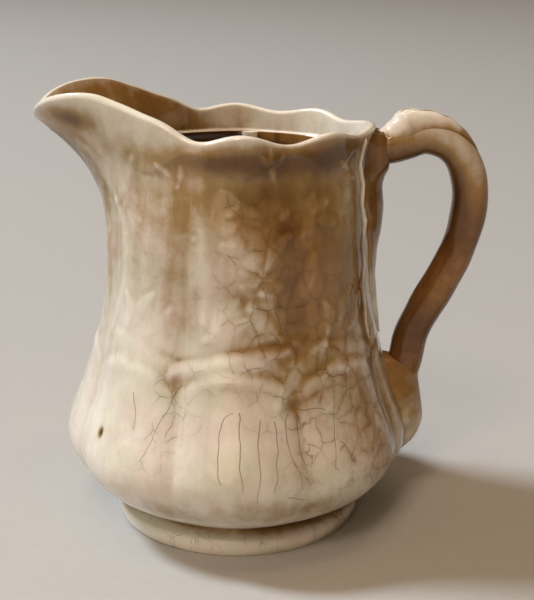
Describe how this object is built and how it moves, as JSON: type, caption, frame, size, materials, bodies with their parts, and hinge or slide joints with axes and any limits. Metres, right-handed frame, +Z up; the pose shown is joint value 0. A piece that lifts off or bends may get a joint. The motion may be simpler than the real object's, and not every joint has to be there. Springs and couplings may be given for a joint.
{
  "type": "ceramic pitcher",
  "caption": "Table pitcher with a lobed belly on a round foot, a waisted neck, a scalloped rim with a winged pouring spout, and a loop handle with a thumb rest.",
  "frame": {"origin": "on the standing surface, under the centre of the overall length and width", "axes": "+Z up out of the mouth, -X towards the pouring spout, +X towards the handle, -Y the side that is seen with the spout on the left"},
  "size_m": [0.1912, 0.1504, 0.1886],
  "materials": {
    "glazed_wall": "glossy crazed ivory glaze, tea-brown stain in the cracks and on the neck",
    "stained_glaze": "glossy glaze over brown-stained clay",
    "foot_clay": "thin glossy glaze, bare and matt where it stands"
  },
  "bodies": {
    "root": {"body_half_handle_side": "glazed_wall", "body_half_spout_side": "glazed_wall", "rim_collar": "glazed_wall", "pouring_spout": "glazed_wall", "foot_ring": "foot_clay", "base_disc": "glazed_wall", "handle_top_leaf": "stained_glaze", "handle_foot_leaf": "stained_glaze", "handle_strap": "stained_glaze", "thumb_rest": "stained_glaze", "seam_roll_back": "glazed_wall", "seam_roll_front": "glazed_wall"}
  },
  "joints": []
}
